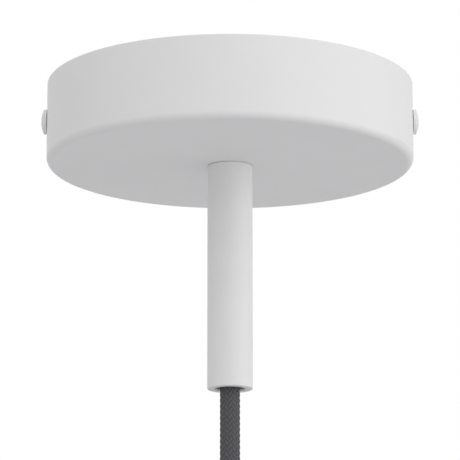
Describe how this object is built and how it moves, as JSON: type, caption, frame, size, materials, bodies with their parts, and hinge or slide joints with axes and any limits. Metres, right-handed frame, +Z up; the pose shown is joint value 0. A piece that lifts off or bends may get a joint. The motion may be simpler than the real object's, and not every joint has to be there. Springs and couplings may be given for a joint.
{
  "type": "electrical ceiling rose",
  "caption": "White ceiling rose: a round steel cup held on a bracket by side screws, with a slim tube below it from which a textile-covered cord hangs.",
  "frame": {"origin": "centre of the ceiling plane, on the bracket's back and in the plane of the cup's rim", "axes": "+Z up into the ceiling, +X along the bracket through the right side screw; the cord hangs to -Z"},
  "size_m": [0.124, 0.12, 0.2208],
  "materials": {
    "white_lacquer": "matt powder coat",
    "tube_lacquer": "matt powder coat",
    "screw_lacquer": "satin lacquer",
    "galvanised_steel": "galvanised strip",
    "zinc_plate": "bright zinc plate",
    "nylon": "natural nylon, moulded",
    "clamp_brass": "drawn and tapped",
    "cord_textile": "braided rayon",
    "shrink_sleeve": "shrunk polyolefin",
    "core_brown": "extruded PVC",
    "core_blue": "extruded PVC",
    "core_green_yellow": "extruded PVC, striped",
    "tinned_copper": "tinned"
  },
  "bodies": {
    "rose": {"block_screw_back": "zinc_plate", "block_screw_front": "zinc_plate", "canopy_cup": "white_lacquer", "ceiling_bracket": "galvanised_steel", "cord_end_sleeve": "shrink_sleeve", "cord_grip": "nylon", "cord_grip_screw": "nylon", "cord_hanging": "cord_textile", "cord_inside": "cord_textile", "cord_tube": "tube_lacquer", "core_blue": "core_blue", "core_brown": "core_brown", "core_earth": "core_green_yellow", "earth_screw": "zinc_plate", "earth_washer": "zinc_plate", "end_core_blue": "core_blue", "end_core_brown": "core_brown", "end_core_earth": "core_green_yellow", "end_ferrule_blue": "tinned_copper", "end_ferrule_brown": "tinned_copper", "end_ferrule_earth": "tinned_copper", "ferrule_blue": "tinned_copper", "ferrule_brown": "tinned_copper", "ferrule_earth": "tinned_copper", "floor_washer": "zinc_plate", "lock_nut": "zinc_plate", "terminal_block": "nylon", "terminal_clamp_blue": "clamp_brass", "terminal_clamp_brown": "clamp_brass", "terminal_clamp_earth": "clamp_brass", "terminal_screw_blue_cord": "zinc_plate", "terminal_screw_blue_mains": "zinc_plate", "terminal_screw_brown_cord": "zinc_plate", "terminal_screw_brown_mains": "zinc_plate", "terminal_screw_earth_cord": "zinc_plate", "terminal_screw_earth_mains": "zinc_plate", "threaded_nipple": "zinc_plate"},
    "left_screw": {"side_screw_left": "screw_lacquer"},
    "right_screw": {"side_screw_right": "screw_lacquer"}
  },
  "joints": [
    {"name": "left_screw_backs_out", "type": "slide", "parent": "rose", "child": "left_screw", "axis": [-1, 0, 0], "range_m": [0, 0.0055]},
    {"name": "right_screw_backs_out", "type": "slide", "parent": "rose", "child": "right_screw", "axis": [1, 0, 0], "range_m": [0, 0.0055]}
  ]
}
